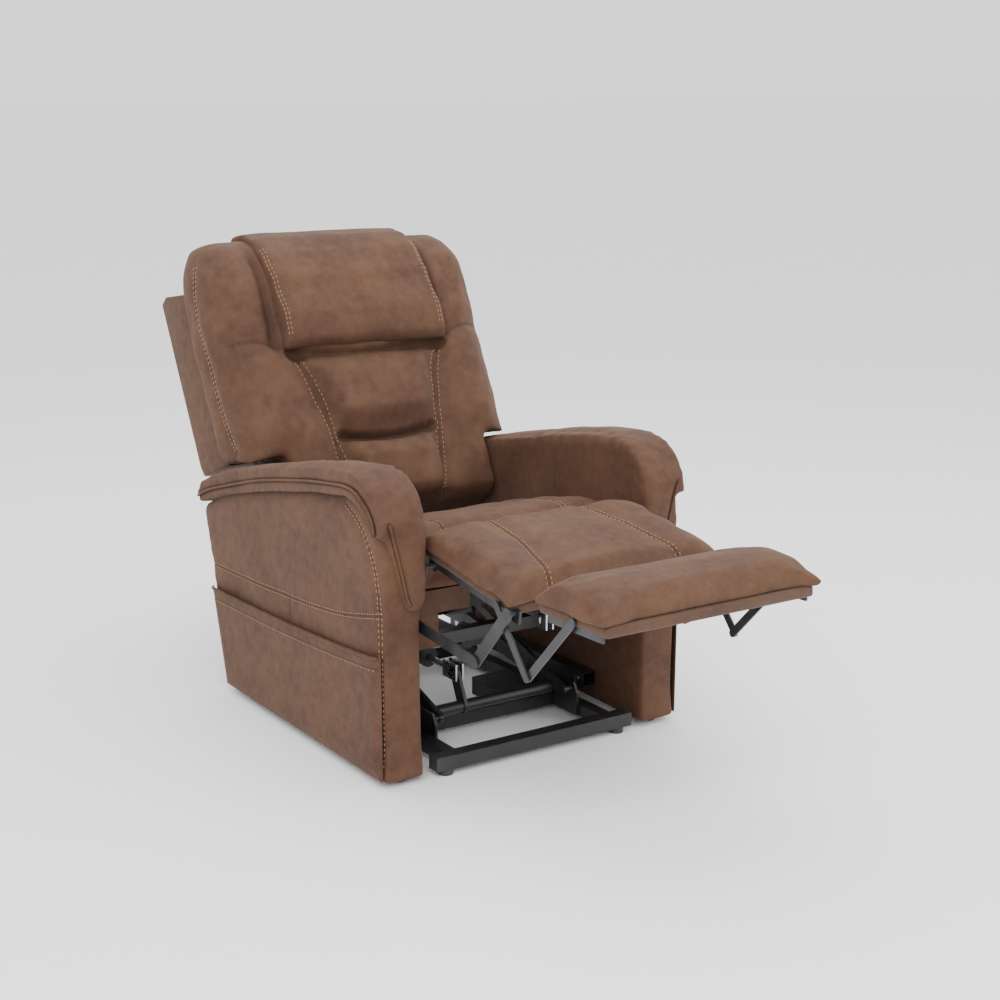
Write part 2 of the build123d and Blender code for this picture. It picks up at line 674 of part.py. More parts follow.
recline_axis_z = 192.0
recline_pin = (back_hinge[0], recline_axis_z - 2)
bar_low = on_back(-296, -shell_front - 4)
with BuildPart() as recline_lever:
    plate([on_back(-272, -shell_front - 4), bar_low, plus(recline_pin, (4, -13)), plus(recline_pin, (-12, -8)),
           plus(recline_pin, (-12, 10)), plus(recline_pin, (10, 26))], -4, 8)
    disc(recline_pin, 5, -16, 32)

hinge_plate_x = upright_x + 22
with BuildPart() as back_hinge_brackets:
    plate([plus(back_hinge, (-14, -14)), plus(back_hinge, (-14, 14)), plus(back_hinge, (10, 20)),
           on_back(-180, -shell_front - 4), on_back(-180, -shell_front - 27),
           on_back(-300, -shell_front - 27), plus(back_hinge, (14, -20))],
          hinge_plate_x, 5, holes=[(back_hinge, pin_radius + pin_fit)])
    both_sides()

hinge_mount_x = hinge_plate_x + 7
with BuildPart() as back_hinge_mounts:
    plate([plus(back_hinge, (-30, -24)), plus(back_hinge, (-30, 24)), plus(back_hinge, (30, 24)),
           plus(back_hinge, (30, -24))], hinge_mount_x, half - hinge_mount_x)
    disc(back_hinge, pin_radius, hinge_plate_x + slip, hinge_mount_x - hinge_plate_x - slip)
    both_sides()

with BuildPart() as recline_motor_rod:
    slotted_rod(0, recline_axis_z, recline_pin[0] - 26, 360, recline_pin, 4)

with BuildPart() as recline_motor:
    drive_housing(0, recline_axis_z, 545, 290, 19, 38, 90)

# headrest drive inside the shell, pushing up on the headrest frame's pin
head_pin = on_back(back_split, head_hinge_n - 140)
head_plane_n = head_hinge_n - 147
with BuildPart() as headrest_push_rod:
    low_u, high_u = back_split - 150, back_split - 26
    plate([on_back(low_u, head_plane_n + 7), on_back(high_u, head_plane_n + 7),
           on_back(high_u, head_plane_n - 7), on_back(low_u, head_plane_n - 7)], -7, 14)
    for x in (-11, 7):
        plate([on_back(high_u - 12, head_plane_n + 22), on_back(back_split + 14, head_plane_n + 22),
               on_back(back_split + 14, head_plane_n - 14), on_back(high_u - 12, head_plane_n - 14)], x, 4)
    plate([on_back(high_u - 12, head_plane_n + 12), on_back(high_u, head_plane_n + 12),
           on_back(high_u, head_plane_n - 12), on_back(high_u - 12, head_plane_n - 12)], -11, 22)
    with BuildSketch(Plane(origin=(-20, front + head_pin[0], head_pin[1]), x_dir=(0, 1, 0),
                           z_dir=(1, 0, 0))) as slot:
        with Locations(turned((6.5, 0), 180 - recline)):
            SlotOverall(28, 13, rotation=-recline)
    extrude(slot.sketch, amount=40, mode=Mode.SUBTRACT)

with BuildPart() as headrest_motor:
    plate([on_back(back_split - 170, head_plane_n + 17), on_back(back_split - 66, head_plane_n + 17),
           on_back(back_split - 66, head_plane_n - 17), on_back(back_split - 170, head_plane_n - 17)], -17, 34)
    plate([on_back(back_split - 171, head_plane_n + 8), on_back(back_split - 60, head_plane_n + 8),
           on_back(back_split - 60, head_plane_n - 8), on_back(back_split - 171, head_plane_n - 8)], -8, 16,
          mode=Mode.SUBTRACT)
    plate([on_back(back_split - 170, head_plane_n + 15), on_back(back_split - 110, head_plane_n + 15),
           on_back(back_split - 110, head_plane_n - 15), on_back(back_split - 170, head_plane_n - 15)], 17, 30)

pieces = {
    "base_side_rails": base_side_rails, "base_front_tube": base_front_tube,
    "base_middle_tube": base_middle_tube, "base_rear_tube": base_rear_tube,
    "base_end_caps": base_end_caps, "base_feet": base_feet, "base_pivot_brackets": base_pivot_brackets,
    "power_supply": power_supply, "lift_motor": lift_motor, "lift_motor_mount": lift_motor_mount,
    "lift_links": lift_links, "lift_torsion_tube": lift_torsion_tube,
    "stabiliser_links": stabiliser_links, "lift_motor_rod": lift_motor_rod,
    "body_side_rails": body_side_rails, "body_front_cross_tube": body_front_cross_tube,
    "body_rear_cross_tubes": body_rear_cross_tubes, "body_lift_brackets": body_lift_brackets,
    "left_side_panel": left_side_panel, "right_side_panel": right_side_panel,
    "left_arm_cap": left_arm_cap, "right_arm_cap": right_arm_cap, "left_side_pocket": left_side_pocket,
    "right_side_pocket": right_side_pocket, "arm_glides": arm_glides, "panel_bolts": panel_bolts,
    "seat_frame": seat_frame, "seat_support_tubes": seat_support_tubes, "seat_springs": seat_springs,
    "seat_cushion": seat_cushion, "front_valance_ends": front_valance_ends,
    "front_valance_center": front_valance_center, "legrest_mount_plates": legrest_mount_plates,
    "legrest_rear_arms": legrest_rear_arms, "legrest_torque_tube": legrest_torque_tube,
    "legrest_lift_arms": legrest_lift_arms, "extension_short_links": extension_short_links,
    "extension_long_links": extension_long_links, "legrest_motor_rod": legrest_motor_rod,
    "legrest_motor": legrest_motor, "chaise_cushion": chaise_cushion, "chaise_board": chaise_board,
    "chaise_side_brackets": chaise_side_brackets, "footrest_cushion": footrest_cushion,
    "footrest_board": footrest_board, "footrest_side_brackets": footrest_side_brackets,
    "back_cushion": back_cushion, "back_shell": back_shell, "back_frame": back_frame,
    "recline_lever": recline_lever, "back_hinge_brackets": back_hinge_brackets,
    "back_hinge_mounts": back_hinge_mounts, "recline_motor_rod": recline_motor_rod,
    "recline_motor": recline_motor, "headrest_cushion": headrest_cushion,
    "headrest_pillow": headrest_pillow, "headrest_frame": headrest_frame,
    "headrest_hinge_rod": headrest_hinge_rod, "headrest_push_rod": headrest_push_rod,
    "headrest_motor": headrest_motor,
}
for label, piece in pieces.items():
    piece.part.label = label
    export_step(piece.part, f"parts/{label}.step")
print(len(pieces), "pieces")
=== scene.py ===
import math
import bpy
import numpy as np
from mathutils import Matrix, Vector, kdtree, noise


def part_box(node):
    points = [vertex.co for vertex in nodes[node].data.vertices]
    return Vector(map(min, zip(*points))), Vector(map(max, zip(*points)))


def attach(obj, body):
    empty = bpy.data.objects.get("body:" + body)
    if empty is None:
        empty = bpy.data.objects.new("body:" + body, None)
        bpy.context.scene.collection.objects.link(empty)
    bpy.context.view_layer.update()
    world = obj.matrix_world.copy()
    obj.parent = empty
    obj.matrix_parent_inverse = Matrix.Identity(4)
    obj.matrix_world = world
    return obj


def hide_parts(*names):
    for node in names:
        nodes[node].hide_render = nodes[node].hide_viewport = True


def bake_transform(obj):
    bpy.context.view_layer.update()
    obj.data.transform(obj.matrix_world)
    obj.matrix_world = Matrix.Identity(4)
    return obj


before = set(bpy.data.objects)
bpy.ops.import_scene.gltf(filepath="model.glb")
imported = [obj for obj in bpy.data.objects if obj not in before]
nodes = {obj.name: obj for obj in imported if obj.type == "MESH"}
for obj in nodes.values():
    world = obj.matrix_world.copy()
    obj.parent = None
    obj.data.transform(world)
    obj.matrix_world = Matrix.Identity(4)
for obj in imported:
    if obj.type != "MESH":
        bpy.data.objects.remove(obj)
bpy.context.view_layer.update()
bpy.ops.object.select_all(action='DESELECT')
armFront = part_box("left_side_panel")[0][1]   # y of the arm fronts
print("frame loaded, arm fronts at", round(armFront, 4))

# camera
cameraSettings = {
    "place": (-2.130, -3.037, 1.470),   # y from the arm fronts
    "lookAt": (0.0, 0.2, 0.4),
    "lens": 62.76,
    "shiftX": 0.0106,
    "shiftY": 0.0649,
}


def inRoom(point):
    return Vector((point[0], point[1] + armFront, point[2]))


bpy.ops.object.camera_add(location=inRoom(cameraSettings["place"]))
camera = bpy.context.object
camera.name = "viewCamera"
aim = inRoom(cameraSettings["lookAt"]) - camera.location
camera.rotation_euler = aim.to_track_quat('-Z', 'Y').to_euler()
camera.data.lens = cameraSettings["lens"]
camera.data.sensor_width = 36
camera.data.shift_x = cameraSettings["shiftX"]
camera.data.shift_y = cameraSettings["shiftY"]
bpy.context.scene.camera = camera

# where things are, in metres; y from the arm fronts
lean = math.radians(27)             # back from upright
backFoot = (0.660, 0.620)
chaiseEdge = (0.0593, 0.5664)
chaiseFall = math.radians(8)
footFall = math.radians(8 - 8.8)


# u up the back, n out of its front
def backAt(x, u, n):
    return Vector((x, armFront + backFoot[0] + u * math.sin(lean) - n * math.cos(lean),
                   backFoot[1] + u * math.cos(lean) + n * math.sin(lean)))


# a towards the feet along the pad, b up from its top
def chaiseAt(x, a, b):
    return Vector((x, armFront + chaiseEdge[0] - a * math.cos(chaiseFall) - b * math.sin(chaiseFall),
                   chaiseEdge[1] - a * math.sin(chaiseFall) + b * math.cos(chaiseFall)))


footEdge = chaiseAt(0, 0.427, 0.037)


def footAt(x, a, b):
    return Vector((x, footEdge[1] - a * math.cos(footFall) - b * math.sin(footFall),
                   footEdge[2] - a * math.sin(footFall) + b * math.cos(footFall)))


def sideAt(x, y, z):
    return Vector((x, armFront + y, z))


# working helpers
def activate(obj):
    bpy.ops.object.select_all(action='DESELECT')
    obj.select_set(True)
    bpy.context.view_layer.objects.active = obj


def applyModifier(obj, kind, **values):
    activate(obj)
    modifier = obj.modifiers.new(kind.lower(), kind)
    for key, value in values.items():
        setattr(modifier, key, value)
    bpy.ops.object.modifier_apply(modifier=modifier.name)


def points(obj):
    flat = np.empty(len(obj.data.vertices) * 3)
    obj.data.vertices.foreach_get("co", flat)
    return flat.reshape(-1, 3)


def setPoints(obj, places):
    obj.data.vertices.foreach_set("co", np.ascontiguousarray(places).ravel())
    obj.data.update()


def normals(obj):
    flat = np.empty(len(obj.data.vertices) * 3)
    obj.data.vertex_normals.foreach_get("vector", flat)
    return flat.reshape(-1, 3)


# a flat outline drawn on a circle's points and extruded by depth
def outlineSolid(name, outline, depth):
    bpy.ops.mesh.primitive_circle_add(vertices=len(outline), radius=0.1, fill_type='NGON')
    obj = bpy.context.object
    obj.name = name
    obj.data.name = name
    for vertex, place in zip(obj.data.vertices, outline):
        vertex.co = place
    bpy.ops.object.mode_set(mode='EDIT')
    bpy.ops.mesh.select_all(action='SELECT')
    bpy.ops.mesh.extrude_region_move(TRANSFORM_OT_translate={"value": tuple(depth)})
    bpy.ops.mesh.select_all(action='SELECT')
    bpy.ops.mesh.remove_doubles(threshold=0.00005)
    bpy.ops.mesh.normals_make_consistent(inside=False)
    bpy.ops.object.mode_set(mode='OBJECT')
    return obj


def joined(name, parts):
    bpy.ops.object.select_all(action='DESELECT')
    for part in parts:
        part.select_set(True)
    bpy.context.view_layer.objects.active = parts[0]
    bpy.ops.object.join()
    obj = bpy.context.object
    obj.name = name
    return obj


def remeshed(obj, voxel, rounds, factor=0.5):
    applyModifier(obj, 'REMESH', mode='VOXEL', voxel_size=voxel)
    if rounds:
        applyModifier(obj, 'SMOOTH', iterations=rounds, factor=factor)
    return obj


# cloth under pressure, each point held to cap; keepFlat gives 0 where nothing may move
def puff(obj, pressure, cap, keepFlat=None):
    start = points(obj)
    activate(obj)
    cloth = obj.modifiers.new("puff", 'CLOTH')
    cloth.settings.use_pressure = True
    cloth.settings.uniform_pressure_force = pressure
    cloth.settings.effector_weights.gravity = 0
    cloth.settings.quality = 4
    for step in range(1, 21):
        bpy.context.scene.frame_set(step)
    bpy.ops.object.modifier_apply(modifier=cloth.name)
    bpy.context.scene.frame_set(1)
    move = points(obj) - start
    far = np.linalg.norm(move, axis=1) + 1e-9
    move *= np.minimum(1.0, cap / far)[:, None]
    if keepFlat is not None:
        move *= keepFlat(start)[:, None]
    setPoints(obj, start + move)


def finishSoft(obj, rounds=2):
    applyModifier(obj, 'SMOOTH', iterations=rounds, factor=0.5)
    applyModifier(obj, 'SUBSURF', levels=1, render_levels=1)
    activate(obj)
    bpy.ops.object.shade_smooth()


# an even run of points on a smooth line through the corners
def smoothPath(corners, spacing=0.005):
    corners = [Vector(c) for c in corners]
    padded = [corners[0] * 2 - corners[1]] + corners + [corners[-1] * 2 - corners[-2]]
    run = []
    for i in range(1, len(padded) - 2):
        a, b, c, d = padded[i - 1:i + 3]
        steps = max(2, int((c - b).length / 0.002))
        for k in range(steps):
            t = k / steps
            run.append(0.5 * (2 * b + (c - a) * t + (2 * a - 5 * b + 4 * c - d) * t * t
                              + (3 * b - a - 3 * c + d) * t ** 3))
    run.append(corners[-1])
    even = [run[0]]
    for place in run[1:]:
        if (place - even[-1]).length >= spacing:
            even.append(place)
    return even


# the smooth line through corners, dropped on obj along aimAlong: places and normals
def onSurface(obj, corners, aimAlong, spacing=0.005):
    aimAlong = Vector(aimAlong).normalized()
    found = []
    for place in smoothPath(corners, spacing):
        hit, where, normal, face = obj.ray_cast(place - aimAlong * 0.12, aimAlong, distance=0.3)
        if hit:
            found.append((where.copy(), normal.copy()))
    return found


# keeps how deep a fold is, for the cover's painted shade: folds darken where it is positive, ridges lighten
# where it is negative
def addCrease(obj, amount):
    layer = obj.data.attributes.get("crease")
    if layer is None:
        layer = obj.data.attributes.new("crease", 'FLOAT', 'POINT')
    old = np.empty(len(obj.data.vertices))
    layer.data.foreach_get("value", old)
    layer.data.foreach_set("value", np.clip(old + amount, -1.0, 1.0))


# pulls the cover in along lines: a narrow groove in a wide valley, with painted shade along the groove
def carve(obj, lines, groove, grooveWidth, valley=0.0, valleyWidth=0.03, shade=0.8):
    total = sum(len(line) for line in lines)
    if not total:
        return
    tree = kdtree.KDTree(total)
    count = 0
    for line in lines:
        for where, normal in line:
            tree.insert(where, count)
            count += 1
    tree.balance()
    places = points(obj)
    reach = max(grooveWidth, valleyWidth) * 2.6
    distance = np.full(len(places), 9.0)
    allPoints = np.array([where[:] for line in lines for where, normal in line])
    above = places > allPoints.min(axis=0) - reach
    below = places < allPoints.max(axis=0) + reach
    near = np.all(above & below, axis=1)
    for i in np.nonzero(near)[0]:
        distance[i] = tree.find(places[i])[2]
    narrow = np.exp(-(distance / grooveWidth) ** 2)
    wide = np.exp(-(distance / valleyWidth) ** 2)
    setPoints(obj, places - normals(obj) * (groove * narrow + valley * wide)[:, None])
    addCrease(obj, shade * narrow)


# soft wrinkles, from a noise stretched along the cloth; the troughs get painted shade and the crests a lighter
# tone (painted highlight with wear)
def ripple(obj, size, height, stretch=(1, 1, 1), seed=0.0, mask=None):
    places = points(obj)
    amounts = np.array([noise.noise(Vector((p[0] * stretch[0] / size + seed, p[1] * stretch[1] / size,
                                            p[2] * stretch[2] / size + seed * 0.7))) for p in places])
    if mask is not None:
        amounts = amounts * mask(places)
    setPoints(obj, places + normals(obj) * (amounts * height)[:, None])
    addCrease(obj, -amounts * 0.25)


# one stitch, modelled once and copied along every seam
stitchLook = {"length": 0.0070, "pitch": 0.0102, "thick": 0.0010, "apart": 0.0040}
bpy.ops.mesh.primitive_cylinder_add(vertices=6, radius=stitchLook["thick"], depth=stitchLook["length"] * 0.7)
stitchModel = bpy.context.object
bpy.ops.object.mode_set(mode='EDIT')
bpy.ops.mesh.select_all(action='SELECT')
bpy.ops.mesh.select_mode(type='FACE')
bpy.ops.mesh.select_all(action='DESELECT')
bpy.ops.object.mode_set(mode='OBJECT')
for face in stitchModel.data.polygons:
    face.select = abs(face.normal.z) > 0.9
bpy.ops.object.mode_set(mode='EDIT')
bpy.ops.mesh.extrude_region_move(TRANSFORM_OT_translate={"value": (0, 0, 0)})
bpy.ops.object.mode_set(mode='OBJECT')
for vertex in stitchModel.data.vertices:
    if vertex.select:
        vertex.co.z *= 1.35
        vertex.co.x *= 0.45
        vertex.co.y *= 0.45
stitchPoints = points(stitchModel)
stitchFaces = [tuple(face.vertices) for face in stitchModel.data.polygons]
bpy.data.objects.remove(stitchModel)


# rows of stitches beside each seam line, lying on obj
def stitches(name, obj, lines, rows=(-1, 1), apart=None):
    apart = stitchLook["apart"] if apart is None else apart
    allPlaces, allFaces, count = [], [], 0
    for line in lines:
        for row in rows:
            travelled = 0.0
            for i in range(1, len(line)):
                where, normal = line[i]
                step = where - line[i - 1][0]
                travelled += step.length
                if travelled < stitchLook["pitch"] or step.length > 0.03:
                    continue
                travelled = 0.0
                along = step.normalized()
                across = normal.cross(along)
                found, spot, up, face = obj.closest_point_on_mesh(where + across * apart * row)
                if not found:
                    continue
                along = (along - up * along.dot(up)).normalized()
                across = up.cross(along)
                turn = np.array([across[:], up[:], along[:]])
                allPlaces.append(stitchPoints @ turn + np.array((spot + up * 0.0004)[:]))
                allFaces += [tuple(v + count for v in face) for face in stitchFaces]
                count += len(stitchPoints)
    mesh = bpy.data.meshes.new(name)
    mesh.from_pydata(np.concatenate(allPlaces).tolist(), [], allFaces)
    seam = bpy.data.objects.new(name, mesh)
    bpy.context.collection.objects.link(seam)
    activate(seam)
    bpy.ops.object.shade_smooth()
    return seam


# a round welt along a seam line
def tubeAlong(name, line, radius, lift=0.0):
    curve = bpy.data.curves.new(name, 'CURVE')
    curve.dimensions = '3D'
    spline = curve.splines.new('POLY')
    spline.points.add(len(line) - 1)
    for spot, (where, normal) in zip(spline.points, line):
        spot.co = (*(where + normal * lift), 1)
    curve.bevel_depth = radius
    curve.bevel_resolution = 2
    curve.use_fill_caps = True
    obj = bpy.data.objects.new(name, curve)
    bpy.context.collection.objects.link(obj)
    activate(obj)
    bpy.ops.object.convert(target='MESH')
    bpy.ops.object.shade_smooth()
    return bpy.context.object


# the same piece for the other side, with its own mesh
def mirrored(obj, name):
    activate(obj)
    bpy.ops.object.duplicate()
    copy = bpy.context.object
    copy.name = name
    copy.data.name = name
    setPoints(copy, points(copy) * np.array([-1, 1, 1]))
    bpy.ops.object.mode_set(mode='EDIT')
    bpy.ops.mesh.select_all(action='SELECT')
    bpy.ops.mesh.flip_normals()
    bpy.ops.object.mode_set(mode='OBJECT')
    return copy


# 1 between low and high, falling to 0 over soft
def bump01(value, low, high, soft):
    rise = np.clip((value - low) / soft + 0.5, 0, 1)
    fall = np.clip((high - value) / soft + 0.5, 0, 1)
    edge = rise * fall
    return edge * edge * (3 - 2 * edge)


# materials
def nodeGroup(name, inputs, outputs):
    group = bpy.data.node_groups.new(name, 'ShaderNodeTree')
    for label, kind, value in inputs:
        socket = group.interface.new_socket(name=label, in_out='INPUT', socket_type=kind)
        socket.default_value = value
    for label, kind in outputs:
        group.interface.new_socket(name=label, in_out='OUTPUT', socket_type=kind)
    entry = group.nodes.new('NodeGroupInput')
    leave = group.nodes.new('NodeGroupOutput')
    return group, entry, leave


def mathNode(tree, operation, a, b=None, clamp=False):
    node = tree.nodes.new('ShaderNodeMath')
    node.operation = operation
    node.use_clamp = clamp
    for socket, value in ((node.inputs[0], a), (node.inputs[1], b)):
        if value is None:
            continue
        if isinstance(value, (int, float)):
            socket.default_value = value
        else:
            tree.links.new(value, socket)
    return node.outputs[0]


def mixColor(tree, factor, a, b, blend='MIX'):
    node = tree.nodes.new('ShaderNodeMix')
    node.data_type = 'RGBA'
    node.blend_type = blend
    for socket, value in ((node.inputs[0], factor), (node.inputs[6], a), (node.inputs[7], b)):
        if isinstance(value, (int, float)):
            socket.default_value = value
        elif isinstance(value, tuple):
            socket.default_value = (*value, 1)
        else:
            tree.links.new(value, socket)
    return node.outputs[2]


def noiseNode(tree, vector, scale, detail=3, rough=0.55):
    node = tree.nodes.new('ShaderNodeTexNoise')
    for label, value in (("Scale", scale), ("Detail", detail), ("Roughness", rough)):
        if isinstance(value, (int, float)):
            node.inputs[label].default_value = value
        else:
            tree.links.new(value, node.inputs[label])
    tree.links.new(vector, node.inputs["Vector"])
    return node.outputs["Fac"]


# brushed cover: cloudy patches, fine nap, painted shade in folds and a lighter tone on ridges (painted
# highlight with wear)
napGroup, napIn, napOut = nodeGroup(
    "brushedNap",
    [("Dark", 'NodeSocketColor', (0.1, 0.06, 0.04, 1)), ("Middle", 'NodeSocketColor', (0.2, 0.12, 0.08, 1)),
     ("Light", 'NodeSocketColor', (0.3, 0.2, 0.14, 1)), ("Patch", 'NodeSocketFloat', 7.0),
     ("Grain", 'NodeSocketFloat', 520.0)],
    [("Color", 'NodeSocketColor'), ("Height", 'NodeSocketFloat'), ("Roughness", 'NodeSocketFloat')])
coordinates = napGroup.nodes.new('ShaderNodeTexCoord').outputs["Object"]
patches = noiseNode(napGroup, coordinates, napIn.outputs["Patch"], 4, 0.6)
streaks = noiseNode(napGroup, coordinates, 38.0, 4, 0.65)
grain = noiseNode(napGroup, coordinates, napIn.outputs["Grain"], 2, 0.6)
pebble = noiseNode(napGroup, coordinates, 150.0, 3, 0.6)
patchMask = mathNode(napGroup, 'MULTIPLY_ADD', patches, 2.6, True)
patchMask.node.inputs[2].default_value = -0.8
streakMask = mathNode(napGroup, 'MULTIPLY_ADD', streaks, 2.2, True)
streakMask.node.inputs[2].default_value = -0.65
base = mixColor(napGroup, patchMask, napIn.outputs["Dark"], napIn.outputs["Middle"])
base = mixColor(napGroup, mathNode(napGroup, 'MULTIPLY', streakMask, 0.45), base, napIn.outputs["Light"])
creaseNode = napGroup.nodes.new('ShaderNodeAttribute')
creaseNode.attribute_name = "crease"
# painted shade: folds darken towards a near-black brown
creaseShade = mathNode(napGroup, 'MAXIMUM', creaseNode.outputs["Fac"], 0.0, True)
# painted highlight with wear: ridges, where the crease value is negative, lighten towards the Light tone
ridgeLightAndWear = mathNode(napGroup, 'MINIMUM', creaseNode.outputs["Fac"], 0.0)
ridgeLightAndWear = mathNode(napGroup, 'MULTIPLY', ridgeLightAndWear, -1.2, True)
base = mixColor(napGroup, mathNode(napGroup, 'MULTIPLY', creaseShade, 0.7), base, (0.035, 0.018, 0.011))
base = mixColor(napGroup, ridgeLightAndWear, base, napIn.outputs["Light"])
speck = mathNode(napGroup, 'MULTIPLY_ADD', grain, 0.5)
speck.node.inputs[2].default_value = 0.75
speckColor = napGroup.nodes.new('ShaderNodeCombineColor')
for channel in range(3):
    napGroup.links.new(speck, speckColor.inputs[channel])
base = mixColor(napGroup, 0.55, base, speckColor.outputs[0], 'MULTIPLY')
napGroup.links.new(base, napOut.inputs["Color"])
grainHeight = mathNode(napGroup, 'MULTIPLY', grain, 0.25)
height = mathNode(napGroup, 'ADD', grainHeight, mathNode(napGroup, 'MULTIPLY', pebble, 0.45))
height = mathNode(napGroup, 'ADD', height, mathNode(napGroup, 'MULTIPLY', streaks, 0.9))
napGroup.links.new(height, napOut.inputs["Height"])
napRough = mathNode(napGroup, 'MULTIPLY_ADD', streaks, -0.25)
napRough.node.inputs[2].default_value = 0.86
napGroup.links.new(napRough, napOut.inputs["Roughness"])

# hard parts: faint dust and scuffs
scuffGroup, scuffIn, scuffOut = nodeGroup(
    "dustAndScuffs",
    [("Base", 'NodeSocketColor', (0.02, 0.02, 0.02, 1)), ("Dust", 'NodeSocketColor', (0.1, 0.1, 0.1, 1)),
     ("Amount", 'NodeSocketFloat', 0.3), ("Gloss", 'NodeSocketFloat', 0.4),
     ("Texture", 'NodeSocketFloat', 400.0)],
    [("Color", 'NodeSocketColor'), ("Height", 'NodeSocketFloat'), ("Roughness", 'NodeSocketFloat')])
place = scuffGroup.nodes.new('ShaderNodeTexCoord').outputs["Object"]
cloud = noiseNode(scuffGroup, place, 14.0, 5, 0.65)
peel = noiseNode(scuffGroup, place, scuffIn.outputs["Texture"], 2, 0.5)
dustMask = mathNode(scuffGroup, 'MULTIPLY_ADD', cloud, 2.4, True)
dustMask.node.inputs[2].default_value = -0.9
dustMask = mathNode(scuffGroup, 'MULTIPLY', dustMask, scuffIn.outputs["Amount"])
scuffGroup.links.new(mixColor(scuffGroup, dustMask, scuffIn.outputs["Base"], scuffIn.outputs["Dust"]),
                     scuffOut.inputs["Color"])
scuffGroup.links.new(peel, scuffOut.inputs["Height"])
cloudRough = mathNode(scuffGroup, 'MULTIPLY', cloud, 0.2)
scuffRough = mathNode(scuffGroup, 'ADD', scuffIn.outputs["Gloss"], cloudRough)
scuffGroup.links.new(scuffRough, scuffOut.inputs["Roughness"])


# a material from one shader group and fixed values on the shader
def finish(name, group, values, bump, distance, **sockets):
    material = bpy.data.materials.new(name)
    material.use_nodes = True
    tree = material.node_tree
    shader = tree.nodes["Principled BSDF"]
    source = tree.nodes.new('ShaderNodeGroup')
    source.node_tree = group
    for label, value in values.items():
        source.inputs[label].default_value = value
    tree.links.new(source.outputs["Color"], shader.inputs["Base Color"])
    tree.links.new(source.outputs["Roughness"], shader.inputs["Roughness"])
    relief = tree.nodes.new('ShaderNodeBump')
    relief.inputs["Strength"].default_value = bump
    relief.inputs["Distance"].default_value = distance
    tree.links.new(source.outputs["Height"], relief.inputs["Height"])
    tree.links.new(relief.outputs["Normal"], shader.inputs["Normal"])
    for label, value in sockets.items():
        shader.inputs[label.replace("_", " ")].default_value = value
    return material


coverLook = {
    "dark": (0.054, 0.024, 0.017, 1),
    "middle": (0.084, 0.041, 0.021, 1),
    "light": (0.128, 0.064, 0.037, 1),
}
coverMaterial = finish("brownCover", napGroup, {
    "Dark": coverLook["dark"], "Middle": coverLook["middle"], "Light": coverLook["light"]},
    0.35, 0.0012, Sheen_Weight=0.06, Sheen_Roughness=0.45, Sheen_Tint=(1.0, 0.8, 0.66, 1),
    Specular_IOR_Level=0.2)
bandMaterial = finish("brownBoardCover", napGroup, {
    "Dark": (0.046, 0.021, 0.014, 1), "Middle": (0.070, 0.034, 0.018, 1), "Light": (0.108, 0.054, 0.031, 1)},
    0.3, 0.001, Sheen_Weight=0.1, Sheen_Roughness=0.5, Specular_IOR_Level=0.25)
threadMaterial = finish("tanThread", scuffGroup, {
    "Base": (0.30, 0.175, 0.095, 1), "Dust": (0.22, 0.125, 0.068, 1), "Gloss": 0.5},
    0.2, 0.0003, Specular_IOR_Level=0.3)
valanceCentreMaterial = finish("blackLining", scuffGroup, {
    "Base": (0.012, 0.012, 0.013, 1), "Dust": (0.04, 0.04, 0.042, 1), "Gloss": 0.8, "Texture": 900.0},
    0.4, 0.0006)
steelMaterial = finish("blackSteel", scuffGroup, {
    "Base": (0.010, 0.010, 0.011, 1), "Dust": (0.04, 0.04, 0.043, 1), "Gloss": 0.3, "Texture": 700.0},
    0.12, 0.0004, Specular_IOR_Level=0.55)
linkMaterial = finish("greyLinkSteel", scuffGroup, {
    "Base": (0.014, 0.014, 0.016, 1), "Dust": (0.07, 0.07, 0.075, 1), "Gloss": 0.28, "Amount": 0.6,
    "Texture": 500.0},
    0.1, 0.0004, Metallic=0.2)
zincMaterial = finish("zincSteel", scuffGroup, {
    "Base": (0.55, 0.55, 0.57, 1), "Dust": (0.3, 0.3, 0.31, 1), "Gloss": 0.18, "Amount": 0.5,
    "Texture": 300.0},
    0.1, 0.0003, Metallic=1.0)
plasticMaterial = finish("blackPlastic", scuffGroup, {
    "Base": (0.02, 0.02, 0.021, 1), "Dust": (0.06, 0.06, 0.062, 1), "Gloss": 0.45, "Texture": 1200.0},
    0.35, 0.0004)


def paint(obj, material):
    obj.data.materials.clear()
    obj.data.materials.append(material)


def place(obj, body, slotName, material, replaced=(), fill=None):
    paint(obj, material)
    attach(obj, body)
    if replaced:
        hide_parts(*replaced)


print("helpers and materials ready")

# seat cushion
seatLook = {"voxel": 0.007, "pressure": 4.0, "cap": 0.014}
seatOutline = [(0.460, 0.402), (0.088, 0.402), (0.088, 0.500), (0.115, 0.526), (0.175, 0.524),
               (0.300, 0.500), (0.450, 0.462), (0.486, 0.440), (0.470, 0.425)]
seat = outlineSolid("seatPad", [sideAt(-0.285, y, z) for y, z in seatOutline], (0.570, 0, 0))
remeshed(seat, seatLook["voxel"], 14)
puff(seat, seatLook["pressure"], seatLook["cap"], lambda p: bump01(p[:, 2], 0.42, 9, 0.03))
finishSoft(seat)
seatSeams = [onSurface(seat, [sideAt(side * 0.165, 0.10, 0.54), sideAt(side * 0.175, 0.45, 0.47)], (0, 0, -1))
             for side in (-1, 1)]
carve(seat, seatSeams, 0.003, 0.004, 0.004, 0.02)
ripple(seat, 0.11, 0.004, (1, 1.6, 1), 3.1)
place(seat, "chair_body", "suede", coverMaterial, ["seat_cushion"], 0.75)
print("seat done")

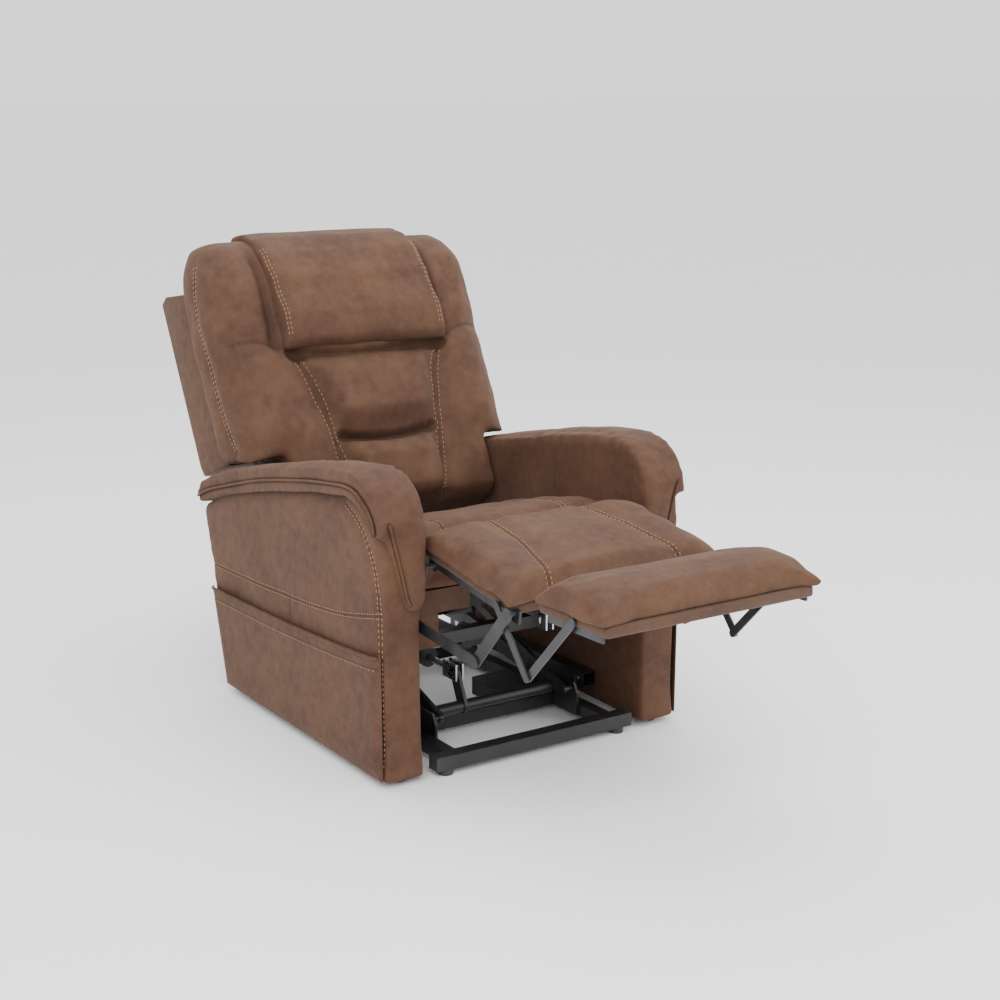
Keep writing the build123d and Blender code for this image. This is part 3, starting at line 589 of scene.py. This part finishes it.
# cloth flaps under the front corners of the seat
flapLook = {"inner": 0.196, "outer": 0.262, "low": 0.262, "high": 0.398, "y": 0.102}
for name, side in (("frontFlapRight", -1), ("frontFlapLeft", 1)):
    flap = outlineSolid(name, [sideAt(side * x, flapLook["y"] + lift * 0.010, z) for x, z, lift in
                               ((flapLook["outer"], flapLook["low"], 1),
                                (flapLook["outer"], flapLook["high"], 0),
                                (flapLook["inner"], flapLook["high"], 0),
                                (flapLook["inner"], flapLook["low"], 1))],
                        (0, 0.004, 0))
    applyModifier(flap, 'BEVEL', width=0.0015, segments=2)
    applyModifier(flap, 'SUBSURF', levels=2, render_levels=2, subdivision_type='SIMPLE')
    ripple(flap, 0.05, 0.003, (1.5, 1, 0.4), 7.7)
    place(flap, "chair_body", "suede", coverMaterial)

# legrest pads
legLook = {"voxel": 0.006, "pressure": 4.0, "cap": 0.010}


def padOutline(at, halfWidth, length, thick, low):
    return [at(-halfWidth, a, b) for a, b in
            ((0.012, low), (0.002, -thick * 0.62), (0.012, -0.020), (0.045, -0.002), (length * 0.5, 0.006),
             (length - 0.045, -0.002), (length - 0.010, -0.020), (length + 0.002, -thick * 0.62),
             (length - 0.008, low))]


def makePad(name, at, halfWidth, length, thick, low):
    pad = outlineSolid(name, padOutline(at, halfWidth, length, thick, low), (halfWidth * 2, 0, 0))
    remeshed(pad, legLook["voxel"], 6)
    places = points(pad)
    foot = np.array(at(0, 0, low)[:])
    along = np.array((at(0, 1, 0) - at(0, 0, 0))[:])
    up = np.array((at(0, 0, 1) - at(0, 0, 0))[:])
    a, b = (places - foot) @ along, (places - foot) @ up
    edge = np.clip((np.abs(places[:, 0]) / halfWidth - 0.62) / 0.38, 0, 1) ** 2
    ends = np.clip(np.abs(2 * a / length - 1), 0, 1) ** 3
    places = places - np.outer(b * edge * (0.30 + 0.22 * ends), up)
    places[:, 0] *= 1 + 0.03 * ends
    setPoints(pad, places + np.outer((2 * a / length - 1) * edge * ends * 0.010, along))
    applyModifier(pad, 'SMOOTH', iterations=4, factor=0.5)
    return pad


chaisePad = makePad("legrestPad", chaiseAt, 0.280, 0.366, 0.056, -0.050)
chaiseUp = (chaiseAt(0, 0, 1) - chaiseAt(0, 0, 0)).normalized()
puff(chaisePad, legLook["pressure"], legLook["cap"],
     lambda p: bump01((p - np.array(chaiseAt(0, 0, 0)[:])) @ np.array(chaiseUp[:]), -0.046, 9, 0.02))
finishSoft(chaisePad)
chaiseLine = ((0.122, -0.01), (0.128, 0.08), (0.142, 0.20), (0.172, 0.366))
chaiseSeams = [onSurface(chaisePad, [chaiseAt(side * x, a, 0.02) for x, a in chaiseLine], -chaiseUp)
               for side in (-1, 1)]
carve(chaisePad, chaiseSeams, 0.0035, 0.004, 0.007, 0.028)
ripple(chaisePad, 0.07, 0.005, (1, 1, 1), 5.3,
       lambda p: 0.25 + bump01(np.abs(p[:, 0]), 0.19, 1, 0.08) * 0.9)
place(chaisePad, "chaise", "suede", coverMaterial, ["chaise_cushion"], 0.8)

footPad = makePad("footrestPad", footAt, 0.274, 0.225, 0.054, -0.048)
footUp = (footAt(0, 0, 1) - footAt(0, 0, 0)).normalized()
puff(footPad, legLook["pressure"], legLook["cap"],
     lambda p: bump01((p - np.array(footEdge[:])) @ np.array(footUp[:]), -0.044, 9, 0.02))
finishSoft(footPad)
ripple(footPad, 0.06, 0.004, (1, 1, 1), 8.7,
       lambda p: 0.25 + bump01(np.abs(p[:, 0]), 0.17, 1, 0.08) * 1.0)
place(footPad, "footrest", "suede", coverMaterial, ["footrest_cushion"], 0.85)


# board under a pad, wrapped in the cover
def makeBand(name, at, halfWidth, length, top, low, node, body):
    band = outlineSolid(name, [at(-halfWidth, a, b) for a, b in
                               ((0.0, low), (0.0, top), (length, top), (length, low))], (halfWidth * 2, 0, 0))
    applyModifier(band, 'BEVEL', width=0.006, segments=3)
    activate(band)
    bpy.ops.object.shade_smooth()
    place(band, body, "suede_board", bandMaterial, [node])
    return band


makeBand("legrestBand", chaiseAt, 0.262, 0.356, -0.050, -0.072, "chaise_board", "chaise")
makeBand("footrestBand", footAt, 0.260, 0.221, -0.047, -0.070, "footrest_board", "footrest")
print("legrest pads done")

# back cushion, one cover over the back and the headrest
backLook = {"voxel": 0.009, "pressure": 4.0, "cap": 0.010}
bodyOutline = [(-0.150, 0.010), (0.300, 0.010), (0.300, -0.180), (-0.16, -0.182), (-0.20, -0.12),
               (-0.175, -0.02)]
lower = outlineSolid("backLow", [backAt(-0.282, u, n) for u, n in bodyOutline], (0.564, 0, 0))
wingOutline = [(-0.018, 0.008), (0.385, 0.008), (0.42, -0.18), (0.036, -0.18), (0.016, -0.13), (0.000, -0.05)]
wing = outlineSolid("backWing", [backAt(-0.385, u, n) for u, n in wingOutline], (0.770, 0, 0))
backOut = backAt(0, 0, 1) - backAt(0, 0, 0)
headSide = [(0.30, 0.008), (0.41, 0.010), (0.480, -0.004), (0.536, -0.030), (0.572, -0.076), (0.580, -0.122),
            (0.560, -0.168), (0.51, -0.182), (0.30, -0.182)]
head = outlineSolid("backHead", [backAt(-0.386, u, n) for u, n in headSide], (0.772, 0, 0))
back = joined("backCushion", [lower, wing, head])
remeshed(back, backLook["voxel"], 14)


# x, u and n of points on the back
def backLocal(places):
    foot = np.array(backAt(0, 0, 0)[:])
    up = np.array((backAt(0, 1, 0) - backAt(0, 0, 0))[:])
    out = np.array(backOut[:])
    rel = places - foot
    return places[:, 0], rel @ up, rel @ out


# the front corners roll back to the gusset and the crown narrows
def roundCorners(obj):
    places = points(obj)
    x, u, n = backLocal(places)
    crown = np.clip((u - 0.42) / 0.14, 0, 1)
    width = 1 - 0.075 * crown * crown
    turn = np.clip((np.abs(x) - 0.300) / 0.084, 0, 1)
    drop = 0.078 * (1 - np.sqrt(np.clip(1 - turn * turn, 0, 1))) * bump01(u, -0.06, 9, 0.06)
    depth = np.clip((n + 0.185) / 0.195, 0, 1)
    places = places - np.outer(drop * depth, np.array(backOut[:]))
    places[:, 0] *= width
    setPoints(obj, places)


roundCorners(back)
applyModifier(back, 'SMOOTH', iterations=6, factor=0.5)
puff(back, backLook["pressure"], backLook["cap"],
     lambda p: 1 - 0.85 * bump01(backLocal(p)[1], -9, -0.02, 0.1))
finishSoft(back, 3)


def shapeBack(obj):
    places = points(obj)
    x, u, n = backLocal(places)
    facing = np.clip((n + 0.03) / 0.035, 0, 1)
    centre = 0.155 + 0.25 * np.clip(u, 0, 0.3) - 0.02
    inside = bump01(np.abs(x) / centre, -9, 0.86, 0.42)
    upper = bump01(u, 0.045, 0.205, 0.075)
    lowerBulge = bump01(u, -0.16, -0.015, 0.07)
    fold = 0.018 - 0.9 * (0.14 ** 2 - np.minimum(np.abs(x), 0.14) ** 2)
    crease = np.exp(-((u - fold) / 0.010) ** 2) * bump01(np.abs(x), -9, 0.132, 0.03)
    wingPuff = bump01(np.abs(x), 0.21, 0.32, 0.10) * bump01(u, 0.02, 0.25, 0.10)
    rise = inside * (0.030 * upper + 0.038 * lowerBulge) - 0.030 * crease + 0.008 * wingPuff
    setPoints(obj, places + np.outer(rise * facing, np.array(backOut[:])))
    # painted shade in the lumbar crease, on top of its dent
    addCrease(obj, crease * facing * 1.0)
    sag = 0.236 - 0.010 * np.cos(np.clip(np.abs(x) / 0.205, 0, 1) * math.pi / 2)   # under the pillow
    under = np.exp(-((u - sag) / 0.011) ** 2) * bump01(np.abs(x), -9, 0.215, 0.03) * facing
    beside = np.exp(-((np.abs(x + 0.010) - 0.236) / 0.012) ** 2) * bump01(u, 0.26, 0.50, 0.05) * facing
    places = points(obj)
    setPoints(obj, places - np.outer(0.022 * under + 0.014 * beside, np.array(backOut[:])))
    # painted shade in the dents under and beside the pillow
    addCrease(obj, 0.9 * under + 0.8 * beside)


shapeBack(back)
inward = -backOut
centreLine = ((0.200, 0.228), (0.176, 0.150), (0.156, 0.05), (0.140, -0.06), (0.124, -0.16))
centreSeams = [onSurface(back, [backAt(side * x, u, 0.05) for x, u in centreLine], inward) for side in (-1, 1)]
wingSeams = [onSurface(back, [backAt(side * x, u, 0.05) for x, u in
                              ((0.205, 0.240), (0.25, 0.262), (0.30, 0.276), (0.356, 0.280))], inward)
             for side in (-1, 1)]
gussetLine = ((0.030, -0.086), (0.094, -0.100), (0.226, -0.108), (0.35, -0.102), (0.45, -0.094),
              (0.515, -0.088))
gussetSeams = [onSurface(back, [backAt(side * 0.44, u, n) for u, n in gussetLine], (-side, 0, 0))
               for side in (-1, 1)]
carve(back, centreSeams, 0.004, 0.005, 0.012, 0.030)
carve(back, wingSeams, 0.004, 0.0035, 0.008, 0.022)
carve(back, gussetSeams, 0.002, 0.004, 0.005, 0.02, 0.5)
ripple(back, 0.13, 0.006, (1, 1, 1), 1.7)
ripple(back, 0.05, 0.002, (1.6, 1, 1), 4.4)
paint(back, coverMaterial)
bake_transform(back)
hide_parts("back_cushion", "headrest_cushion")

pillowLook = {"voxel": 0.006, "pressure": 4.0, "cap": 0.005}
pillowSide = [(0.246, 0.006), (0.238, 0.028), (0.252, 0.048), (0.32, 0.057), (0.42, 0.048), (0.49, 0.024),
              (0.545, -0.016), (0.578, -0.066), (0.590, -0.112), (0.582, -0.150), (0.560, -0.112),
              (0.545, -0.070),
              (0.515, -0.030), (0.468, 0.002), (0.41, 0.012)]
pillow = outlineSolid("headPillow", [backAt(-0.236, u, n) for u, n in pillowSide], (0.452, 0, 0))
remeshed(pillow, pillowLook["voxel"], 8)
puff(pillow, pillowLook["pressure"], pillowLook["cap"])
finishSoft(pillow)
places = points(pillow)
x, u, n = backLocal(places)
bag = bump01(u, 0.25, 0.36, 0.08) * np.clip((n - 0.02) / 0.02, 0, 1)
places = places + np.outer(bag * 0.008, np.array(backOut[:]))
setPoints(pillow, places)
ripple(pillow, 0.10, 0.005, (1, 1, 1), 6.2)
place(pillow, "headrest", "suede", coverMaterial, ["headrest_pillow"], 0.8)
print("back done")

# outer shell of the back
shellLook = {"halfWidth": 0.345, "wall": 0.011, "hollow": 0.125, "round": 0.022}
shell = outlineSolid("backShell", [backAt(-shellLook["halfWidth"], u, n) for u, n in
                                   ((0.030, -0.196), (0.482, -0.196), (0.528, -0.335), (0.520, -0.368),
                                    (0.075, -0.370), (0.049, -0.360))], (2 * shellLook["halfWidth"], 0, 0))
for face in shell.data.polygons:
    face.select = face.normal.dot(backOut) > 0.9
shell.data.update()
bpy.ops.object.mode_set(mode='EDIT')
bpy.ops.mesh.select_mode(type='FACE')
bpy.ops.mesh.inset(thickness=shellLook["wall"], depth=0)
bpy.ops.mesh.extrude_region_move(TRANSFORM_OT_translate={"value": tuple(-backOut * shellLook["hollow"])})
bpy.ops.object.mode_set(mode='OBJECT')
applyModifier(shell, 'BEVEL', width=shellLook["round"], segments=5,
              limit_method='ANGLE', angle_limit=math.radians(40))
activate(shell)
bpy.ops.object.shade_smooth_by_angle(angle=math.radians(50))
place(shell, "back", "suede", coverMaterial, ["back_shell"])
print("shell done")

# arms
armLook = {"voxel": 0.008, "pressure": 3.0, "cap": 0.003, "inner": 0.299, "outer": 0.398}
panelOutline = [(0.003, 0.014), (0.003, 0.505), (0.012, 0.560), (0.038, 0.604), (0.078, 0.632),
                (0.130, 0.645), (0.320, 0.619), (0.575, 0.570), (0.774, 0.516), (0.900, 0.460), (0.790, 0.014)]
panel = outlineSolid("armPanelRight", [sideAt(-armLook["outer"], y, z) for y, z in panelOutline],
                     (armLook["outer"] - armLook["inner"], 0, 0))
remeshed(panel, armLook["voxel"], 4)
puff(panel, armLook["pressure"], armLook["cap"], lambda p: bump01(p[:, 2], 0.05, 9, 0.08))
finishSoft(panel, 1)

capLook = {"voxel": 0.007, "pressure": 4.0, "cap": 0.005}
capTop = [(-0.012, 0.555), (-0.002, 0.606), (0.024, 0.648), (0.066, 0.676), (0.120, 0.687), (0.230, 0.677),
          (0.360, 0.655), (0.506, 0.624), (0.620, 0.600), (0.724, 0.576), (0.820, 0.546), (0.884, 0.518),
          (0.912, 0.484)]
capUnder = [(0.890, 0.458), (0.774, 0.503), (0.575, 0.556), (0.470, 0.577), (0.320, 0.605), (0.230, 0.618),
            (0.130, 0.631), (0.080, 0.620), (0.040, 0.594), (0.022, 0.560)]
cap = outlineSolid("armCapTop", [sideAt(-0.413, y, z) for y, z in capTop + capUnder], (0.117, 0, 0))
dropFace = [(-0.296, 0.580), (-0.350, 0.592), (-0.402, 0.600), (-0.386, 0.548), (-0.372, 0.490),
            (-0.359, 0.431), (-0.346, 0.396), (-0.325, 0.384), (-0.303, 0.398), (-0.296, 0.46)]
drop = outlineSolid("armCapDrop", [sideAt(x, 0.016, z) for x, z in dropFace], (0, -0.029, 0))
skinOutline = capTop[:-1] + [(0.870, 0.42), (0.60, 0.40), (0.30, 0.40), (0.004, 0.40)]
innerSkin = outlineSolid("armCapInner", [sideAt(-0.308, y, z) for y, z in skinOutline], (0.014, 0, 0))
cap = joined("armCapRight", [cap, drop, innerSkin])
remeshed(cap, capLook["voxel"], 10)
puff(cap, capLook["pressure"], capLook["cap"])
finishSoft(cap)

capEdge = onSurface(cap, [sideAt(-0.50, y, z) for y, z in
                          ((0.895, 0.482), (0.850, 0.502), (0.774, 0.526), (0.560, 0.582), (0.360, 0.620),
                           (0.230, 0.640), (0.125, 0.650), (0.070, 0.638), (0.030, 0.606), (0.012, 0.565))],
                    (1, 0, 0))
dropLine = ((-0.384, 0.590), (-0.372, 0.548), (-0.358, 0.490), (-0.345, 0.431), (-0.334, 0.404))
dropEdge = onSurface(cap, [sideAt(x, -0.04, z) for x, z in dropLine], (0, 1, 0))
capFold = onSurface(cap, [sideAt(x, 0.45, 0.70) for x in (-0.410, -0.36, -0.30)], (0, 0, -1))
carve(cap, [capEdge, dropEdge], 0.005, 0.005, 0.002, 0.018)
# a band of painted shadow on the panel under the cap's overhang; the groove has no depth, only a shallow
# valley
underCap = onSurface(panel, [sideAt(-0.50, y, z) for y, z in capUnder[:-1]], (1, 0, 0))
carve(panel, [underCap], 0.0, 0.016, 0.004, 0.02, 0.9)
carve(cap, [capFold], 0.003, 0.004, 0.003, 0.02)
ripple(cap, 0.11, 0.0022, (1, 1, 1), 2.2)
cornerSeam = onSurface(panel, [sideAt(-0.50, y, z) for y, z in
                               ((0.018, 0.04), (0.018, 0.30), (0.026, 0.46), (0.054, 0.535), (0.098, 0.580),
                                (0.152, 0.606))], (1, 0, 0))
sideSeam = onSurface(panel, [sideAt(-0.50, y, z) for y, z in
                             ((0.858, 0.315), (0.62, 0.322), (0.426, 0.332), (0.20, 0.352), (0.012, 0.389))],
                     (1, 0, 0))
standSeam = onSurface(panel, [sideAt(-0.50, 0.43, z) for z in (0.285, 0.328)], (1, 0, 0))
carve(panel, [cornerSeam], 0.003, 0.004, 0.003, 0.02)
carve(panel, [sideSeam, standSeam], 0.002, 0.004, 0.002, 0.02)
ripple(panel, 0.16, 0.004, (1, 1, 1), 9.2)

# pocket: an outer sheet with a thick hemmed mouth, closed at its sides and foot
pocketRear = (0.784, 0.846)          # y at the foot and at the mouth
pocketOutline = [(0.006, 0.018), (0.006, 0.302), (0.21, 0.286), (0.43, 0.274), (0.64, 0.267),
                 (pocketRear[1], 0.262), (pocketRear[0], 0.018)]
pocket = outlineSolid("sidePocketRight", [sideAt(-0.4105, y, z) for y, z in pocketOutline], (0.0040, 0, 0))
applyModifier(pocket, 'REMESH', mode='VOXEL', voxel_size=0.0025)
applyModifier(pocket, 'DECIMATE', ratio=0.35)
places = points(pocket)
yPlace, zPlace = places[:, 1] - armFront, places[:, 2]
rear = np.interp(zPlace, [0.018, 0.262], pocketRear)
closed = np.maximum(1 - (yPlace - 0.006) / 0.03, 1 - (rear - yPlace) / 0.03)
closed = np.maximum(closed, 1 - (zPlace - 0.018) / 0.03)
closed = np.clip(closed, 0, 1)
belly = np.clip((zPlace - 0.05) / 0.2, 0, 1) * (1 - closed) * 0.004
places[:, 0] += closed * closed * 0.007 - belly
setPoints(pocket, places)
activate(pocket)
bpy.ops.object.shade_smooth()
mouthLine = ((0.012, 0.302), (0.21, 0.286), (0.43, 0.274), (0.64, 0.267), (0.838, 0.262))
pocketMouth = onSurface(pocket, [sideAt(-0.50, y, z - 0.004) for y, z in mouthLine], (1, 0, 0))
pocketSeam = onSurface(pocket, [sideAt(-0.50, y, z - 0.026) for y, z in mouthLine], (1, 0, 0))
carve(pocket, [pocketSeam], 0.0012, 0.004, 0.0, 0.02, 0.7)
welt = tubeAlong("pocketWeltRight", pocketMouth, 0.0035)

armStitches = [stitches("panelStitchRight", panel, [cornerSeam, sideSeam]),
               stitches("pocketStitchRight", pocket, [pocketSeam], rows=(1,), apart=0.005)]
capWelt = tubeAlong("capWeltRight", capEdge, 0.0032, -0.001)
dropWelt = tubeAlong("dropWeltRight", dropEdge, 0.0030, -0.001)

for obj, node in ((panel, "side_panel"), (cap, "arm_cap"), (pocket, "side_pocket")):
    name = obj.name.replace("Right", "Left")
    other = mirrored(obj, name)
    fill = 0.9 if obj is panel else (0.85 if obj is cap else None)
    place(obj, "chair_body", "suede", coverMaterial, ["right_" + node], fill)
    place(other, "chair_body", "suede", coverMaterial, ["left_" + node], fill)
for obj in armStitches + [welt, capWelt, dropWelt]:
    other = mirrored(obj, obj.name.replace("Right", "Left"))
    for piece in (obj, other):
        place(piece, "chair_body", "suede", coverMaterial if "Welt" in piece.name else threadMaterial)
print("arms done")

# stitching on the cushions
seatStitch = stitches("seatStitch", seat, seatSeams)
place(seatStitch, "chair_body", "suede", threadMaterial)
chaiseStitch = stitches("legrestStitch", chaisePad, chaiseSeams)
place(chaiseStitch, "chaise", "suede", threadMaterial)
backStitch = stitches("backStitch", back, centreSeams + gussetSeams)
paint(backStitch, threadMaterial)
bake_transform(backStitch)
pillowSeams = [onSurface(pillow, [backAt(x, u, 0.09) for u in (0.262, 0.33, 0.40, 0.47, 0.515)], inward)
               for x in (-0.222, 0.200)]
pillowStitch = stitches("pillowStitch", pillow, pillowSeams)
place(pillowStitch, "headrest", "suede", threadMaterial)
print("stitching done")

# valance under the seat: brown ends and a near-black centre
paint(nodes["front_valance_ends"], bandMaterial)
paint(nodes["front_valance_center"], valanceCentreMaterial)

# metal and plastic
for name, node in nodes.items():
    if name in ("front_valance_ends", "front_valance_center"):
        continue
    if name.endswith("_rod") or name in ("seat_springs", "panel_bolts", "headrest_push_rod"):
        paint(node, zincMaterial)
    elif name in ("base_end_caps", "base_feet", "power_supply", "lift_motor", "recline_motor",
                  "legrest_motor", "headrest_motor", "arm_glides"):
        paint(node, plasticMaterial)
    elif name.startswith(("legrest_", "extension_", "chaise_side", "footrest_side", "lift_links",
                          "stabiliser")):
        paint(node, linkMaterial)
    else:
        paint(node, steelMaterial)
print("metal done")

# floor and light
bpy.ops.mesh.primitive_plane_add(size=300, location=(0, 0, -0.0005))
floor = bpy.context.object
floor.name = "studioFloor"
floorMaterial = bpy.data.materials.new("paleFloor")
floorMaterial.use_nodes = True
floorShader = floorMaterial.node_tree.nodes["Principled BSDF"]
floorShader.inputs["Base Color"].default_value = (0.96, 0.96, 0.96, 1)
floorShader.inputs["Roughness"].default_value = 0.9
paint(floor, floorMaterial)

world = bpy.data.worlds.new("studioWorld")
world.use_nodes = True
world.node_tree.nodes["Background"].inputs["Color"].default_value = (1, 1, 1, 1)
world.node_tree.nodes["Background"].inputs["Strength"].default_value = 1.5
bpy.context.scene.world = world
lights = {                                    # place, size and power
    "key": ((-2.2, -3.0, 3.2), 3.0, 130),
    "fill": ((3.0, -2.2, 2.2), 3.5, 60),
    "top": ((0.2, 0.8, 3.6), 3.0, 70),
}
for name, (spot, size, power) in lights.items():
    bpy.ops.object.light_add(type='AREA', location=spot)
    light = bpy.context.object
    light.name = name + "Light"
    light.data.size = size
    light.data.energy = power
    light.rotation_euler = (Vector((0, 0, 0.5)) - Vector(spot)).to_track_quat('-Z', 'Y').to_euler()
print("light done")
